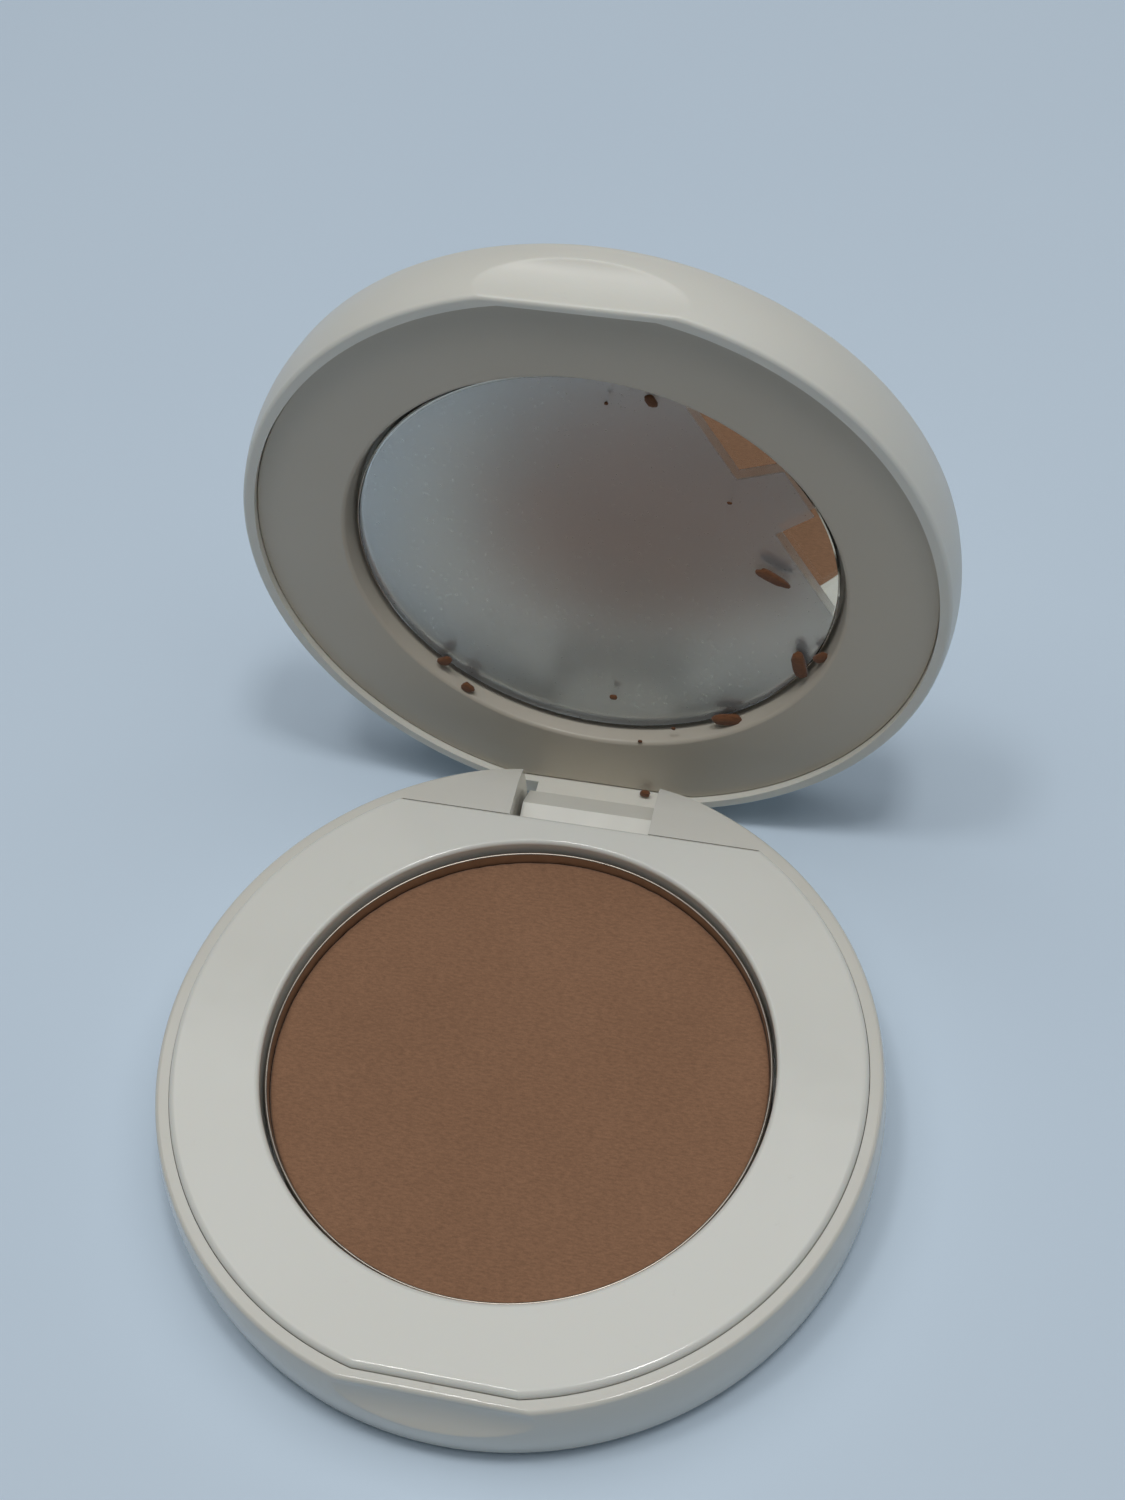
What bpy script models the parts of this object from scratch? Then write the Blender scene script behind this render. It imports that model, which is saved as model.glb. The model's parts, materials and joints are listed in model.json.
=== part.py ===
"""Round powder compact, standing open: a base with a pressed-powder pan, and a hinged lid with a mirror."""

from math import acos, asin, atan2, cos, degrees, hypot, pi, radians, sin, sqrt

import bmesh
import bpy
from mathutils import Matrix

MM = 0.001

# Case outline, seen from above. Both halves share it.
RIM_R = 37.5 * MM           # radius at the parting line
BULGE = 0.4 * MM            # how far the side walls swell beyond the rim
WALL_T = 2.6 * MM           # base side wall, below the ledge that carries the deck
RIM_LEDGE = 1.45 * MM       # base rim, outside the deck
LID_WALL_T = 1.3 * MM       # lid side wall, also the width of its rim
SIDES = 96                  # facets round the case

# Heights above the table.
RIM_Z = 11.4 * MM           # top of the base rim
FLOOR_T = 1.4 * MM
BASE_EDGE_R = 1.8 * MM      # rounding round the underside
RIM_EDGE_R = 0.5 * MM
DECK_RISE = 0.75 * MM       # deck top above the base rim
SHUT_GAP = 0.35 * MM        # deck to mirror frame with the lid shut
RIM_GAP = 0.3 * MM          # base rim to lid rim with the lid shut

# Fits.
SEAM = 0.3 * MM             # moulded pieces that lie against each other
TURN_GAP = 0.04 * MM        # radial clearance of the hinge pin
SIDE_GAP = 0.45 * MM        # each end of the hinge barrel to its ear
SWING_GAP = 0.3 * MM        # anything that sweeps past something else
LAP = 0.5 * MM              # how far pieces of one moulding reach into each other
PAST = 5.0 * MM             # how far a cutter reaches past what it cuts

# Deck, the inner plate of the base.
DECK_T = 1.4 * MM
DECK_EDGE_R = 0.6 * MM
DECK_TO_SLOT = 0.1 * MM     # the deck's straight back edge in front of the hinge slot
SKIRT_T = 1.2 * MM
SKIRT_H = 1.5 * MM
OPENING_R = 26.6 * MM
LIP_R = 0.5 * MM
WELL_WALL_T = 1.1 * MM
WELL_FLOOR_T = 1.0 * MM
PUSH_HOLE_R = 2.5 * MM      # lets a tool push the pan out from below

# Powder pan and what is in it.
PAN_CLEAR = 0.35 * MM       # pan to opening
PAN_T = 0.3 * MM
PAN_H = 5.2 * MM
PAN_RIM_DROP = 1.4 * MM     # pan rim below the deck top
PAN_FILLET = 0.8 * MM
CAKE_DROP = 1.45 * MM       # powder below the pan rim
CAKE_CLEAR = 0.02 * MM
CAKE_EDGE = 0.2 * MM        # chamfer round the powder's top
ADHESIVE_INSET = 6.25 * MM  # from the pan's edge
ADHESIVE_T = 0.4 * MM
BOND = 0.05 * MM            # faces joined by adhesive

# Hinge.
BARREL_R = 3.5 * MM
BARREL_TO_DECK = 0.45 * MM  # top of the barrel below the deck's seat
BARREL_COVER = 0.4 * MM     # back of the barrel inside the case outline
BARREL_W = 14.7 * MM
PIN_R = 0.75 * MM
PIN_INSET = 0.5 * MM        # pin ends below the side walls
SLOT_FLOOR_T = 0.8 * MM
SLOT_FRONT_T = 1.0 * MM
SLOT_SILL = 0.8 * MM        # floor of the slot runs this far behind the web's inner face
CHEEK_T = 2.0 * MM
WEB_SETBACK = 1.1 * MM      # inner face of the web behind the axis
WEB_T = 1.8 * MM            # the strap that joins the barrel to the lid
OPEN_ANGLE = radians(94.0)  # lid shut to lid open

# Lid.
LID_H = 9.0 * MM            # rim to crown
LID_TOP_T = 1.2 * MM
LID_CROWN = 0.5 * MM
LID_EDGE_R = 1.6 * MM
LID_REAR_CUT = 0.3 * MM     # flat on the lid's back, which keeps it off the table
HINGE_BLOCK_T = 3.0 * MM    # height of the block that carries the web

# Thumb notch, cut into both halves at the front.
NOTCH_DEPTH = 1.2 * MM      # at the rim
NOTCH_FOOT = 0.36 * MM      # how far outside the rim it meets the swelling wall
NOTCH_H = 5.1 * MM
NOTCH_R = 6.5 * MM          # hollow of the scoop
NOTCH_LEDGE = 1.2 * MM      # rim left between the notch and the deck

# Mirror frame, the inner plate of the lid.
FRAME_T = 1.2 * MM
MIRROR_LIP_R = 26.7 * MM
POCKET_DRAFT = 0.7 * MM     # pocket floor smaller than its lip, in radius
MIRROR_LIP_ROUND = 0.4 * MM
POCKET_DEPTH = 3.3 * MM
POCKET_WALL_T = 1.0 * MM
POCKET_FLOOR_T = 0.8 * MM
MIRROR_CLEAR = 0.3 * MM
MIRROR_T = 1.2 * MM
TAPE_INSET = 3.7 * MM       # from the mirror's edge
TAPE_T = 0.25 * MM
FILM_T = 0.08 * MM
FILM_INSET = 0.3 * MM       # film edge inside the mirror edge
FILM_CUT = 5.3 * MM         # depth of the film's straight cut
FILM_CUT_TURN = radians(-30)
FILM_TAB_W = 8.0 * MM       # at the cut
FILM_TAB_END_W = 6.4 * MM
FILM_TAB_AT = -1.1 * MM     # along the cut, from its middle

axis_y = RIM_R - BARREL_R - BARREL_COVER
seat_r = RIM_R - RIM_LEDGE
seat_front = RIM_R - NOTCH_DEPTH - NOTCH_LEDGE
slot_front = axis_y - BARREL_R - SWING_GAP
deck_back = slot_front - DECK_TO_SLOT
deck_top = RIM_Z + DECK_RISE
deck_seat = deck_top - DECK_T - SKIRT_H - SEAM
axis_z = deck_seat - BARREL_TO_DECK - BARREL_R
well_r = OPENING_R + WELL_WALL_T
pan_r = OPENING_R - PAN_CLEAR
pan_top = deck_top - PAN_RIM_DROP
pan_base = pan_top - PAN_H
well_floor = pan_base - ADHESIVE_T - 2 * BOND
chamber_r = RIM_R - WALL_T
chamber_top = deck_seat + LAP
slot_half = BARREL_W / 2 + SIDE_GAP
ear_r = RIM_Z - axis_z

# With the lid shut.
frame_z = deck_top + SHUT_GAP
lid_rim_z = RIM_Z + RIM_GAP
lid_top_z = lid_rim_z + LID_H
lid_pocket_r = RIM_R - LID_WALL_T
lid_pocket_z = lid_top_z - LID_CROWN - LID_TOP_T
frame_r = lid_pocket_r - SEAM
web_y = axis_y + WEB_SETBACK
frame_rear = web_y - SEAM   # the frame's straight edge at the hinge
parting_z = (RIM_Z + lid_rim_z) / 2
pocket_r = MIRROR_LIP_R - POCKET_DRAFT
mirror_r = pocket_r - MIRROR_CLEAR
film_r = mirror_r - FILM_INSET
pocket_floor = frame_z + POCKET_DEPTH
tape_z = pocket_floor - BOND - TAPE_T
mirror_z = tape_z - BOND - MIRROR_T
film_z = mirror_z - BOND - FILM_T


def clear_scene():
    for thing in list(bpy.data.objects):
        bpy.data.objects.remove(thing, do_unlink=True)


def material(name, colour, roughness, metallic=0.0):
    made = bpy.data.materials.new(name)
    made.use_nodes = True
    shader = made.node_tree.nodes["Principled BSDF"]
    shader.inputs["Base Color"].default_value = (*colour, 1.0)
    shader.inputs["Roughness"].default_value = roughness
    shader.inputs["Metallic"].default_value = metallic
    made.diffuse_color = (*colour, 1.0)
    return made


def arc(centre, radius, start, end, steps):
    """Points of an arc in a plane, angles in degrees, both ends included."""
    angles = [radians(start + (end - start) * i / steps) for i in range(steps + 1)]
    return [(centre[0] + radius * cos(a), centre[1] + radius * sin(a)) for a in angles]


def as_object(name, bm, finish=None):
    bmesh.ops.remove_doubles(bm, verts=bm.verts, dist=1e-7)
    bmesh.ops.recalc_face_normals(bm, faces=bm.faces)
    mesh = bpy.data.meshes.new(name)
    bm.to_mesh(mesh)
    bm.free()
    made = bpy.data.objects.new(name, mesh)
    bpy.context.scene.collection.objects.link(made)
    if finish:
        mesh.materials.append(finish)
    mesh.shade_smooth()
    mesh.set_sharp_from_angle(angle=radians(35))
    return made


def turned(name, profile, finish=None, steps=SIDES):
    """A solid of revolution about Z from a closed outline of (radius, height) points."""
    bm = bmesh.new()
    points = [bm.verts.new((r, 0, z)) for r, z in profile]
    edges = [bm.edges.new((a, b)) for a, b in zip(points, points[1:])]
    if profile[0][0] > 0:
        edges.append(bm.edges.new((points[-1], points[0])))
    bmesh.ops.spin(bm, geom=points + edges, cent=(0, 0, 0), axis=(0, 0, 1), angle=2 * pi, steps=steps,
                   use_merge=True, use_duplicate=False)
    return as_object(name, bm, finish)


def prism(name, outline, low, high, finish=None, bevel=0.0):
    """An outline of (x, y) points raised from low to high, with its top edge rounded if bevel is set."""
    bm = bmesh.new()
    face = bm.faces.new([bm.verts.new((x, y, low)) for x, y in outline])
    raised = bmesh.ops.extrude_face_region(bm, geom=[face])["geom"]
    top = [v for v in raised if isinstance(v, bmesh.types.BMVert)]
    bmesh.ops.translate(bm, verts=top, vec=(0, 0, high - low))
    if bevel:
        rim = [e for e in bm.edges if all(v in top for v in e.verts)]
        bmesh.ops.bevel(bm, geom=rim, offset=bevel, segments=3, profile=0.5, affect="EDGES")
    return as_object(name, bm, finish)


def side_prism(name, outline, half_width):
    """An outline of (y, z) points, as wide along X as twice half_width."""
    bm = bmesh.new()
    face = bm.faces.new([bm.verts.new((-half_width, y, z)) for y, z in outline])
    raised = bmesh.ops.extrude_face_region(bm, geom=[face])["geom"]
    bmesh.ops.translate(bm, verts=[v for v in raised if isinstance(v, bmesh.types.BMVert)],
                        vec=(2 * half_width, 0, 0))
    return as_object(name, bm)


def box(name, low, high):
    bm = bmesh.new()
    bmesh.ops.create_cube(bm, size=1.0)
    size = [b - a for a, b in zip(low, high)]
    middle = [(a + b) / 2 for a, b in zip(low, high)]
    place = Matrix.Translation(middle) @ Matrix.Diagonal((*size, 1.0))
    bmesh.ops.transform(bm, matrix=place, verts=bm.verts)
    return as_object(name, bm)


def rod(name, radius, low_x, high_x, finish=None, steps=40):
    """A cylinder along X on the hinge axis."""
    bm = bmesh.new()
    place = Matrix.Translation(((low_x + high_x) / 2, axis_y, axis_z)) @ Matrix.Rotation(pi / 2, 4, "Y")
    bmesh.ops.create_cone(bm, cap_ends=True, segments=steps, radius1=radius, radius2=radius,
                          depth=high_x - low_x, matrix=place)
    return as_object(name, bm, finish)


def boolean(target, other, operation):
    step = target.modifiers.new(other.name, "BOOLEAN")
    step.operation = operation
    step.solver = "EXACT"
    step.object = other
    other.hide_render = True
    other.display_type = "WIRE"


def cut(target, *cutters):
    for cutter in cutters:
        boolean(target, cutter, "DIFFERENCE")


def join(target, *pieces):
    for piece in pieces:
        boolean(target, piece, "UNION")


def chorded(radius, front, back, steps=SIDES):
    """A circle with a straight front edge at -front and, if back is set, a straight one at +back."""
    if front < radius:
        front_half = sqrt(radius**2 - front**2)
        start = atan2(-front, front_half)
    else:
        start = -pi / 2
    if back and back < radius:
        end = asin(back / radius)
    else:
        end = pi / 2
    side = [start + (end - start) * i / (steps // 2) for i in range(steps // 2 + 1)]
    right = [(radius * cos(a), radius * sin(a)) for a in side]
    left = [(-x, y) for x, y in reversed(right)]
    merged = []
    for point in right + left:
        if not merged or hypot(point[0] - merged[-1][0], point[1] - merged[-1][1]) > 1e-6:
            merged.append(point)
    if hypot(merged[0][0] - merged[-1][0], merged[0][1] - merged[-1][1]) < 1e-6:
        merged.pop()
    return merged


def bulged(low, high, steps=8):
    """The side wall's outline between two heights: the rim radius at both ends, swelling between them."""
    heights = [low + (high - low) * i / steps for i in range(steps + 1)]
    return [(RIM_R + BULGE * (1 - ((z - low) / (high - low) * 2 - 1) ** 2), z) for z in heights]


def notch_cutter(name, rim, far):
    """The thumb scoop: a long cylinder whose arc runs from the notched rim out to the wall at far."""
    shallow = RIM_R - NOTCH_DEPTH
    deep = RIM_R + NOTCH_FOOT
    middle = ((-shallow - deep) / 2, (rim + far) / 2)
    run = (-deep + shallow, far - rim)
    length = hypot(*run)
    reach = sqrt(NOTCH_R**2 - length**2 / 4)
    side = 1 if far < rim else -1
    centre_y = middle[0] + side * run[1] / length * reach
    centre_z = middle[1] - side * run[0] / length * reach
    return side_prism(name, arc((centre_y, centre_z), NOTCH_R, 0, 360 - 360 / 64, 63), RIM_R / 2)


def make_base(plastic):
    wall = bulged(BASE_EDGE_R, RIM_Z - RIM_EDGE_R)
    edge = arc((RIM_R - BASE_EDGE_R, BASE_EDGE_R), BASE_EDGE_R, -90, 0, 6)
    rim = arc((RIM_R - RIM_EDGE_R, RIM_Z - RIM_EDGE_R), RIM_EDGE_R, 0, 90, 4)
    shell = turned("base_shell", [(0, 0)] + edge[:-1] + wall[:-1] + rim + [(0, RIM_Z)], plastic)

    chamber = turned("cut_chamber", [
        (0, FLOOR_T), (chamber_r, FLOOR_T), (chamber_r, chamber_top), (0, chamber_top)])
    seat_outline = chorded(seat_r, seat_front, deck_back + SEAM)
    seat = prism("cut_deck_seat", seat_outline, deck_seat, RIM_Z + PAST)
    block = box("hinge_block", (-slot_half - CHEEK_T, slot_front - SLOT_FRONT_T, FLOOR_T / 2),
                (slot_half + CHEEK_T, chamber_r + LAP, deck_seat))
    well_way = turned("cut_well_way", [
        (0, FLOOR_T), (well_r + SEAM, FLOOR_T), (well_r + SEAM, chamber_top), (0, chamber_top)])
    back, above = RIM_R + PAST, RIM_Z + PAST
    sill = web_y + SLOT_SILL
    slot = side_prism("cut_hinge_slot", [(slot_front, SLOT_FLOOR_T), (sill, SLOT_FLOOR_T), (sill, -PAST),
                                         (back, -PAST), (back, above), (slot_front, above)], slot_half)
    ears = side_prism("cut_ear_tops", arc((axis_y, axis_z), ear_r, 88, 5, 20) + [
        (back, axis_z), (back, above), (axis_y, above)], RIM_R)
    bore = rod("cut_pin_bore", PIN_R + TURN_GAP, -RIM_R, RIM_R)
    cut(shell, chamber)
    join(shell, block)
    cut(shell, well_way, seat, slot, ears, bore, notch_cutter("cut_base_notch", RIM_Z, RIM_Z - NOTCH_H))
    return shell


def make_deck(plastic):
    outline = chorded(seat_r - SEAM, seat_front - SEAM, deck_back)
    skirt = deck_seat + SEAM
    deck = prism("base_deck", outline, skirt, deck_top, plastic, DECK_EDGE_R)
    inset = SEAM + SKIRT_T
    hollow = prism("cut_deck_hollow", chorded(seat_r - inset, seat_front - inset, deck_back - SKIRT_T),
                   skirt - PAST, deck_top - DECK_T)
    low = well_floor - WELL_FLOOR_T
    joined = deck_top - DECK_T / 2
    well = turned("deck_well", [(0, low), (well_r, low), (well_r, joined), (0, joined)])
    lip = arc((OPENING_R + LIP_R, deck_top - LIP_R), LIP_R, 180, 90, 4)
    opening = turned("cut_deck_opening", [(0, well_floor), (OPENING_R, well_floor)] + lip + [
        (OPENING_R + LIP_R, deck_top + PAST), (0, deck_top + PAST)])
    push_hole = turned("cut_push_hole", [(0, low - PAST), (PUSH_HOLE_R, low - PAST),
                                         (PUSH_HOLE_R, well_floor + LAP), (0, well_floor + LAP)], steps=32)
    cut(deck, hollow)
    join(deck, well)
    cut(deck, opening, push_hole)
    return deck


def make_pan(tinplate):
    outer = arc((pan_r - PAN_FILLET, pan_base + PAN_FILLET), PAN_FILLET, -90, 0, 4)
    inner = arc((pan_r - PAN_FILLET, pan_base + PAN_FILLET), PAN_FILLET - PAN_T, 0, -90, 4)
    rim = [(pan_r, pan_top), (pan_r - PAN_T, pan_top)]
    return turned("powder_pan", [(0, pan_base)] + outer + rim + inner + [(0, pan_base + PAN_T)], tinplate)


def make_cake(powder):
    edge = pan_r - PAN_T - CAKE_CLEAR
    low = pan_base + PAN_T + CAKE_CLEAR
    high = pan_top - CAKE_DROP
    corner = PAN_FILLET - PAN_T
    return turned("powder_cake", [(0, low)] + arc((edge - corner, low + corner), corner, -90, 0, 4) + [
        (edge, high - CAKE_EDGE), (edge - CAKE_EDGE, high), (0, high)], powder)


def disc(name, radius, low, thickness, finish, steps=SIDES):
    high = low + thickness
    return turned(name, [(0, low), (radius, low), (radius, high), (0, high)], finish, steps)


def make_pin(steel):
    half = sqrt(RIM_R**2 - axis_y**2) - PIN_INSET
    return rod("hinge_pin", PIN_R, -half, half, steel)


def lid_outline(low, high):
    """The lid's outer profile from its rim up and over the crown."""
    wall = bulged(low + RIM_EDGE_R, high - LID_CROWN - LID_EDGE_R)
    rim = arc((RIM_R - RIM_EDGE_R, low + RIM_EDGE_R), RIM_EDGE_R, -90, 0, 4)
    edge = arc((RIM_R - LID_EDGE_R, high - LID_CROWN - LID_EDGE_R), LID_EDGE_R, 0, 82, 5)
    end_r, end_z = edge[-1]
    crown = [(end_r * (1 - i / 6), high - (high - end_z) * (1 - i / 6) ** 2) for i in range(1, 7)]
    return rim[:-1] + wall[:-1] + edge + crown


def make_lid(plastic):
    shell = turned("lid_shell", [(0, lid_rim_z)] + lid_outline(lid_rim_z, lid_top_z), plastic)
    inside = prism("cut_lid_inside", chorded(lid_pocket_r, seat_front + SEAM, 0), lid_rim_z - PAST,
                   lid_pocket_z, bevel=LID_EDGE_R)
    block_back = lid_pocket_r + LAP
    block_half = sqrt(block_back**2 - web_y**2)
    block = box("lid_hinge_block", (-block_half, web_y, lid_rim_z),
                (block_half, block_back, frame_z + HINGE_BLOCK_T))
    web_top = frame_z + HINGE_BLOCK_T / 2
    start = degrees(acos(WEB_SETBACK / BARREL_R))
    end = 360 + degrees(acos((WEB_SETBACK + WEB_T) / BARREL_R))
    knuckle = side_prism("lid_knuckle", [(web_y + WEB_T, web_top), (web_y, web_top)]
                         + arc((axis_y, axis_z), BARREL_R, start, end, 36), BARREL_W / 2)
    bore = rod("cut_barrel_bore", PIN_R + TURN_GAP, -BARREL_W, BARREL_W)
    rear = box("cut_lid_rear", (-RIM_R, RIM_R - LID_REAR_CUT, -PAST),
               (RIM_R, RIM_R + PAST, lid_top_z + PAST))
    cut(shell, inside)
    join(shell, block, knuckle)
    cut(shell, bore, rear, notch_cutter("cut_lid_notch", lid_rim_z, lid_rim_z + NOTCH_H))
    return shell


def make_mirror_frame(plastic):
    outline = chorded(frame_r, seat_front, frame_rear)
    frame = prism("mirror_frame", outline, frame_z, frame_z + FRAME_T, plastic)
    cup_r = pocket_r + POCKET_WALL_T
    cup_top = pocket_floor + POCKET_FLOOR_T
    joined = frame_z + FRAME_T / 2
    cup = turned("mirror_cup", [(0, joined), (cup_r, joined), (cup_r, cup_top), (0, cup_top)])
    lip = arc((MIRROR_LIP_R + MIRROR_LIP_ROUND, frame_z + MIRROR_LIP_ROUND), MIRROR_LIP_ROUND, -90, -180, 3)
    pocket = turned("cut_mirror_pocket", [
        (0, frame_z - PAST), (MIRROR_LIP_R + MIRROR_LIP_ROUND, frame_z - PAST)] + lip + [
        (pocket_r, pocket_floor), (0, pocket_floor)])
    join(frame, cup)
    cut(frame, pocket)
    return frame


def make_film(clear):
    """The mirror's protective film: a disc with a straight cut on one side and a pull tab past the cut."""
    cut_at = film_r - FILM_CUT
    half = sqrt(film_r**2 - cut_at**2)
    tab_half, end_half = FILM_TAB_W / 2, FILM_TAB_END_W / 2
    reach = sqrt(film_r**2 - (abs(FILM_TAB_AT) + end_half) ** 2)
    start = atan2(half, cut_at)
    steps = 72
    rounds = [start + (2 * pi - 2 * start) * i / steps for i in range(steps + 1)]
    outline = [(film_r * cos(a), film_r * sin(a)) for a in rounds]
    outline += [(cut_at, FILM_TAB_AT - tab_half), (reach, FILM_TAB_AT - end_half),
                (reach, FILM_TAB_AT + end_half), (cut_at, FILM_TAB_AT + tab_half)]
    turn = FILM_CUT_TURN
    outline = [(x * cos(turn) - y * sin(turn), x * sin(turn) + y * cos(turn)) for x, y in outline]
    return prism("mirror_film", outline, film_z, film_z + FILM_T, clear)


def hang(piece, pivot):
    """Parents a piece to the pivot where it stands, with the cutters that its Booleans use."""
    piece.parent = pivot
    piece.matrix_parent_inverse = Matrix.Translation((0, -axis_y, -axis_z))
    for step in piece.modifiers:
        hang(step.object, pivot)


def open_lid(pieces, pivot):
    """Hangs the lid's pieces on the hinge axis, built shut, and turns the hinge open."""
    pivot.location = (0, axis_y, axis_z)
    for piece in pieces:
        hang(piece, pivot)
    pivot.rotation_euler = (-OPEN_ANGLE, 0, 0)


def main():
    clear_scene()
    cream = material("cream_plastic", (0.73, 0.69, 0.60), 0.30)
    deck_cream = material("deck_plastic", (0.75, 0.72, 0.64), 0.22)
    frame_cream = material("frame_plastic", (0.70, 0.65, 0.56), 0.35)
    tinplate = material("tinplate", (0.62, 0.60, 0.57), 0.30, 1.0)
    powder = material("pressed_powder", (0.36, 0.20, 0.11), 0.95)
    steel = material("steel", (0.55, 0.55, 0.56), 0.25, 1.0)
    silver = material("mirror_silver", (0.85, 0.86, 0.87), 0.02, 1.0)
    frosted = material("frosted_film", (0.80, 0.82, 0.84), 0.45)
    paper = material("adhesive", (0.85, 0.85, 0.82), 0.60)

    make_base(cream)
    make_deck(deck_cream)
    make_pan(tinplate)
    make_cake(powder)
    disc("pan_adhesive", pan_r - ADHESIVE_INSET, well_floor + BOND, ADHESIVE_T, paper, 64)
    make_pin(steel)
    lid = [
        make_lid(cream),
        make_mirror_frame(frame_cream),
        disc("mirror_tape", mirror_r - TAPE_INSET, tape_z, TAPE_T, paper, 64),
        disc("mirror_glass", mirror_r, mirror_z, MIRROR_T, silver),
        make_film(frosted),
    ]
    pivot = bpy.data.objects.new("lid_pivot", None)
    bpy.context.scene.collection.objects.link(pivot)
    open_lid(lid, pivot)


main()
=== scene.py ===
import json
from math import copysign, cos, hypot, pi, radians, sin, sqrt

import bpy
from mathutils import Matrix, Quaternion, Vector, noise


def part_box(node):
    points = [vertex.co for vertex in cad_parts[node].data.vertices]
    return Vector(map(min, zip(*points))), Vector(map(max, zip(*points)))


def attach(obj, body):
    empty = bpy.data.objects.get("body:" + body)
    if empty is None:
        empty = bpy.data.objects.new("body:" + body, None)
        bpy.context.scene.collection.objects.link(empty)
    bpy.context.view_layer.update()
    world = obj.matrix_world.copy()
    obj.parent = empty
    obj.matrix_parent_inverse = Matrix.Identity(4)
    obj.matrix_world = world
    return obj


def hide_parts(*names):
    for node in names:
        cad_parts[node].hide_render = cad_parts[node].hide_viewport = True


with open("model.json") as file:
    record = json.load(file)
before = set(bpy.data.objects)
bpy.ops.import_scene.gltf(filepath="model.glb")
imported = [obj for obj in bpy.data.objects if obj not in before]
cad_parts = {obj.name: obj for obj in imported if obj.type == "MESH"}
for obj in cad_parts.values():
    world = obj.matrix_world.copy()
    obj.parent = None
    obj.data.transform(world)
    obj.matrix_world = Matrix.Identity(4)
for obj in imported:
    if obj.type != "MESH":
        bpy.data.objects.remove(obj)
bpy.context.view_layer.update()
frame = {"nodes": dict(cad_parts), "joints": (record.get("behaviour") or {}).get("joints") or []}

mm = 0.001
scene = bpy.context.scene
scene.view_settings.view_transform = "Standard"


# small helpers, used by every piece
def deselectAll():
    if bpy.context.mode != "OBJECT":
        bpy.ops.object.mode_set(mode="OBJECT")
    bpy.ops.object.select_all(action="DESELECT")


def makeActive(piece):
    deselectAll()
    piece.select_set(True)
    bpy.context.view_layer.objects.active = piece


def named(name):
    # the object that was just added, with its place moved into its mesh
    piece = bpy.context.object
    piece.name = name
    piece.data.name = name
    bpy.ops.object.transform_apply(location=True, rotation=True, scale=True)
    return piece


def editFaces(piece, wanted=None):
    # edit mode with the wanted faces selected, by a test on centre and normal
    makeActive(piece)
    mesh = piece.data
    for face in mesh.polygons:
        face.select = bool(wanted and wanted(face.center, face.normal))
    for edge in mesh.edges:
        edge.select = False
    for vert in mesh.vertices:
        vert.select = False
    bpy.context.tool_settings.mesh_select_mode = (False, False, True)
    bpy.ops.object.mode_set(mode="EDIT")


def editEdges(piece, wanted):
    # edit mode with the wanted edges selected, by a test on both ends
    makeActive(piece)
    mesh = piece.data
    for face in mesh.polygons:
        face.select = False
    for vert in mesh.vertices:
        vert.select = False
    for edge in mesh.edges:
        a, b = (mesh.vertices[i].co for i in edge.vertices)
        edge.select = bool(wanted(a, b))
        if edge.select:
            for i in edge.vertices:
                mesh.vertices[i].select = True
    bpy.context.tool_settings.mesh_select_mode = (False, True, False)
    bpy.ops.object.mode_set(mode="EDIT")


def leaveEdit():
    bpy.ops.object.mode_set(mode="OBJECT")


def bevelEdges(piece, wanted, width, segments=4):
    editEdges(piece, wanted)
    bpy.ops.mesh.bevel(offset=width, segments=segments, profile=0.5, clamp_overlap=True)
    leaveEdit()


def modify(piece, kind, **settings):
    makeActive(piece)
    bpy.ops.object.modifier_add(type=kind)
    step = piece.modifiers[-1]
    for key, value in settings.items():
        setattr(step, key, value)
    bpy.ops.object.modifier_apply(modifier=step.name)


def combine(piece, other, operation):
    modify(piece, "BOOLEAN", operation=operation, solver="EXACT", object=other)
    bpy.data.objects.remove(other, do_unlink=True)


def cutAway(piece, *cutters):
    for cutter in cutters:
        combine(piece, cutter, "DIFFERENCE")


def weldOn(piece, *others):
    for other in others:
        combine(piece, other, "UNION")


def smooth(piece, angle=32):
    makeActive(piece)
    bpy.ops.object.shade_smooth_by_angle(angle=radians(angle))
    modify(piece, "WEIGHTED_NORMAL", mode="FACE_AREA", weight=90, keep_sharp=True)


def arcPoints(centre, radius, start, end, steps):
    angles = [radians(start + (end - start) * i / steps) for i in range(steps + 1)]
    return [(centre[0] + radius * cos(a), centre[1] + radius * sin(a)) for a in angles]


def roundDisc(name, radius, low, high, vertices=256):
    deselectAll()
    bpy.ops.mesh.primitive_cylinder_add(
        vertices=vertices, radius=radius, depth=high - low,
        location=(0, 0, (low + high) / 2), rotation=(0, 0, pi / vertices))
    return named(name)


def block(name, low, high):
    deselectAll()
    middle = [(a + b) / 2 for a, b in zip(low, high)]
    sides = [b - a for a, b in zip(low, high)]
    bpy.ops.mesh.primitive_cube_add(size=1, location=middle, scale=sides)
    return named(name)


def crossRod(name, radius, halfWidth, vertices=96):
    # a cylinder on the hinge axis
    deselectAll()
    bpy.ops.mesh.primitive_cylinder_add(
        vertices=vertices, radius=radius, depth=2 * halfWidth,
        location=(0, axisY, axisZ), rotation=(0, pi / 2, 0))
    return named(name)


def sliceOff(piece, point, normal):
    # bisects and keeps the side that the normal points away from
    editFaces(piece)
    bpy.ops.mesh.select_all(action="SELECT")
    bpy.ops.mesh.bisect(plane_co=point, plane_no=normal, use_fill=True, clear_outer=True,
                        threshold=0.001 * mm)
    leaveEdit()


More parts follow.
